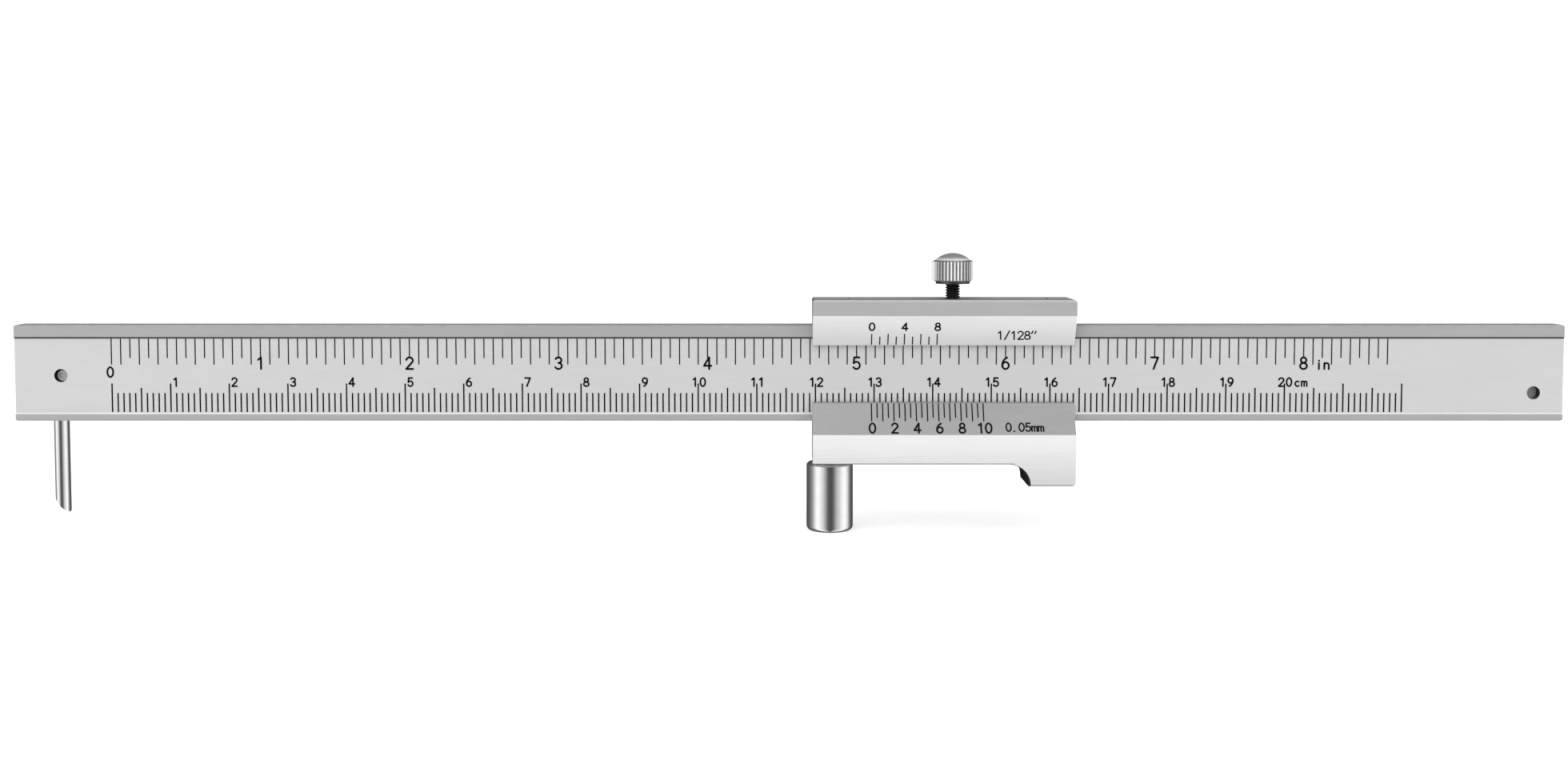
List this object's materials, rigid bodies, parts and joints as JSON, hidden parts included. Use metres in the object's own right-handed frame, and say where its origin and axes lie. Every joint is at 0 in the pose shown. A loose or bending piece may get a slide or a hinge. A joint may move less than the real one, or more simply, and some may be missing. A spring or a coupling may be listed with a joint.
{
  "type": "parallel marking gauge",
  "caption": "Sliding marking gauge: a graduated steel beam with a scriber at one end and a vernier head that carries a lock screw and a guide roller.",
  "frame": {"origin": "under the middle of the beam's length and thickness, level with the foot of the guide roller, the lowest point", "axes": "+X along the beam from the scriber end to the plain end, -Y out of the graduated face, +Z from the roller's foot up to the lock screw"},
  "size_m": [0.264, 0.01, 0.0476],
  "materials": {
    "satin_steel": "satin ground stainless steel with black graduations",
    "head_steel": "satin ground stainless steel, bright on the flats",
    "polished_steel": "polished steel",
    "screw_steel": "plain machined steel",
    "dark_screws": "blackened steel",
    "gib_brass": "plain rolled bronze strip"
  },
  "bodies": {
    "beam": {"beam": "satin_steel", "scriber": "polished_steel", "scriber_clamp_screw": "screw_steel", "stop_pin": "screw_steel"},
    "slider": {"slider_frame": "head_steel", "gib_strip": "gib_brass", "gib_screws": "dark_screws", "roller_axle": "screw_steel", "thrust_washer": "screw_steel"},
    "lock_screw": {"lock_stud": "dark_screws", "lock_knob": "polished_steel"},
    "roller": {"guide_roller": "polished_steel"}
  },
  "joints": [
    {"name": "slider_slide", "type": "slide", "parent": "beam", "child": "slider", "axis": [1, 0, 0], "range_m": [-0.1245, 0.0764]},
    {"name": "lock_screw_turn", "type": "hinge", "parent": "slider", "child": "lock_screw", "pos_m": [0.028, 0, 0.0414], "axis": [0, 0, 1], "range_deg": [-90, 1080]},
    {"name": "roller_spin", "type": "hinge", "parent": "slider", "child": "roller", "pos_m": [0.007, 0, 0.0058], "axis": [0, 0, 1], "continuous": true}
  ]
}
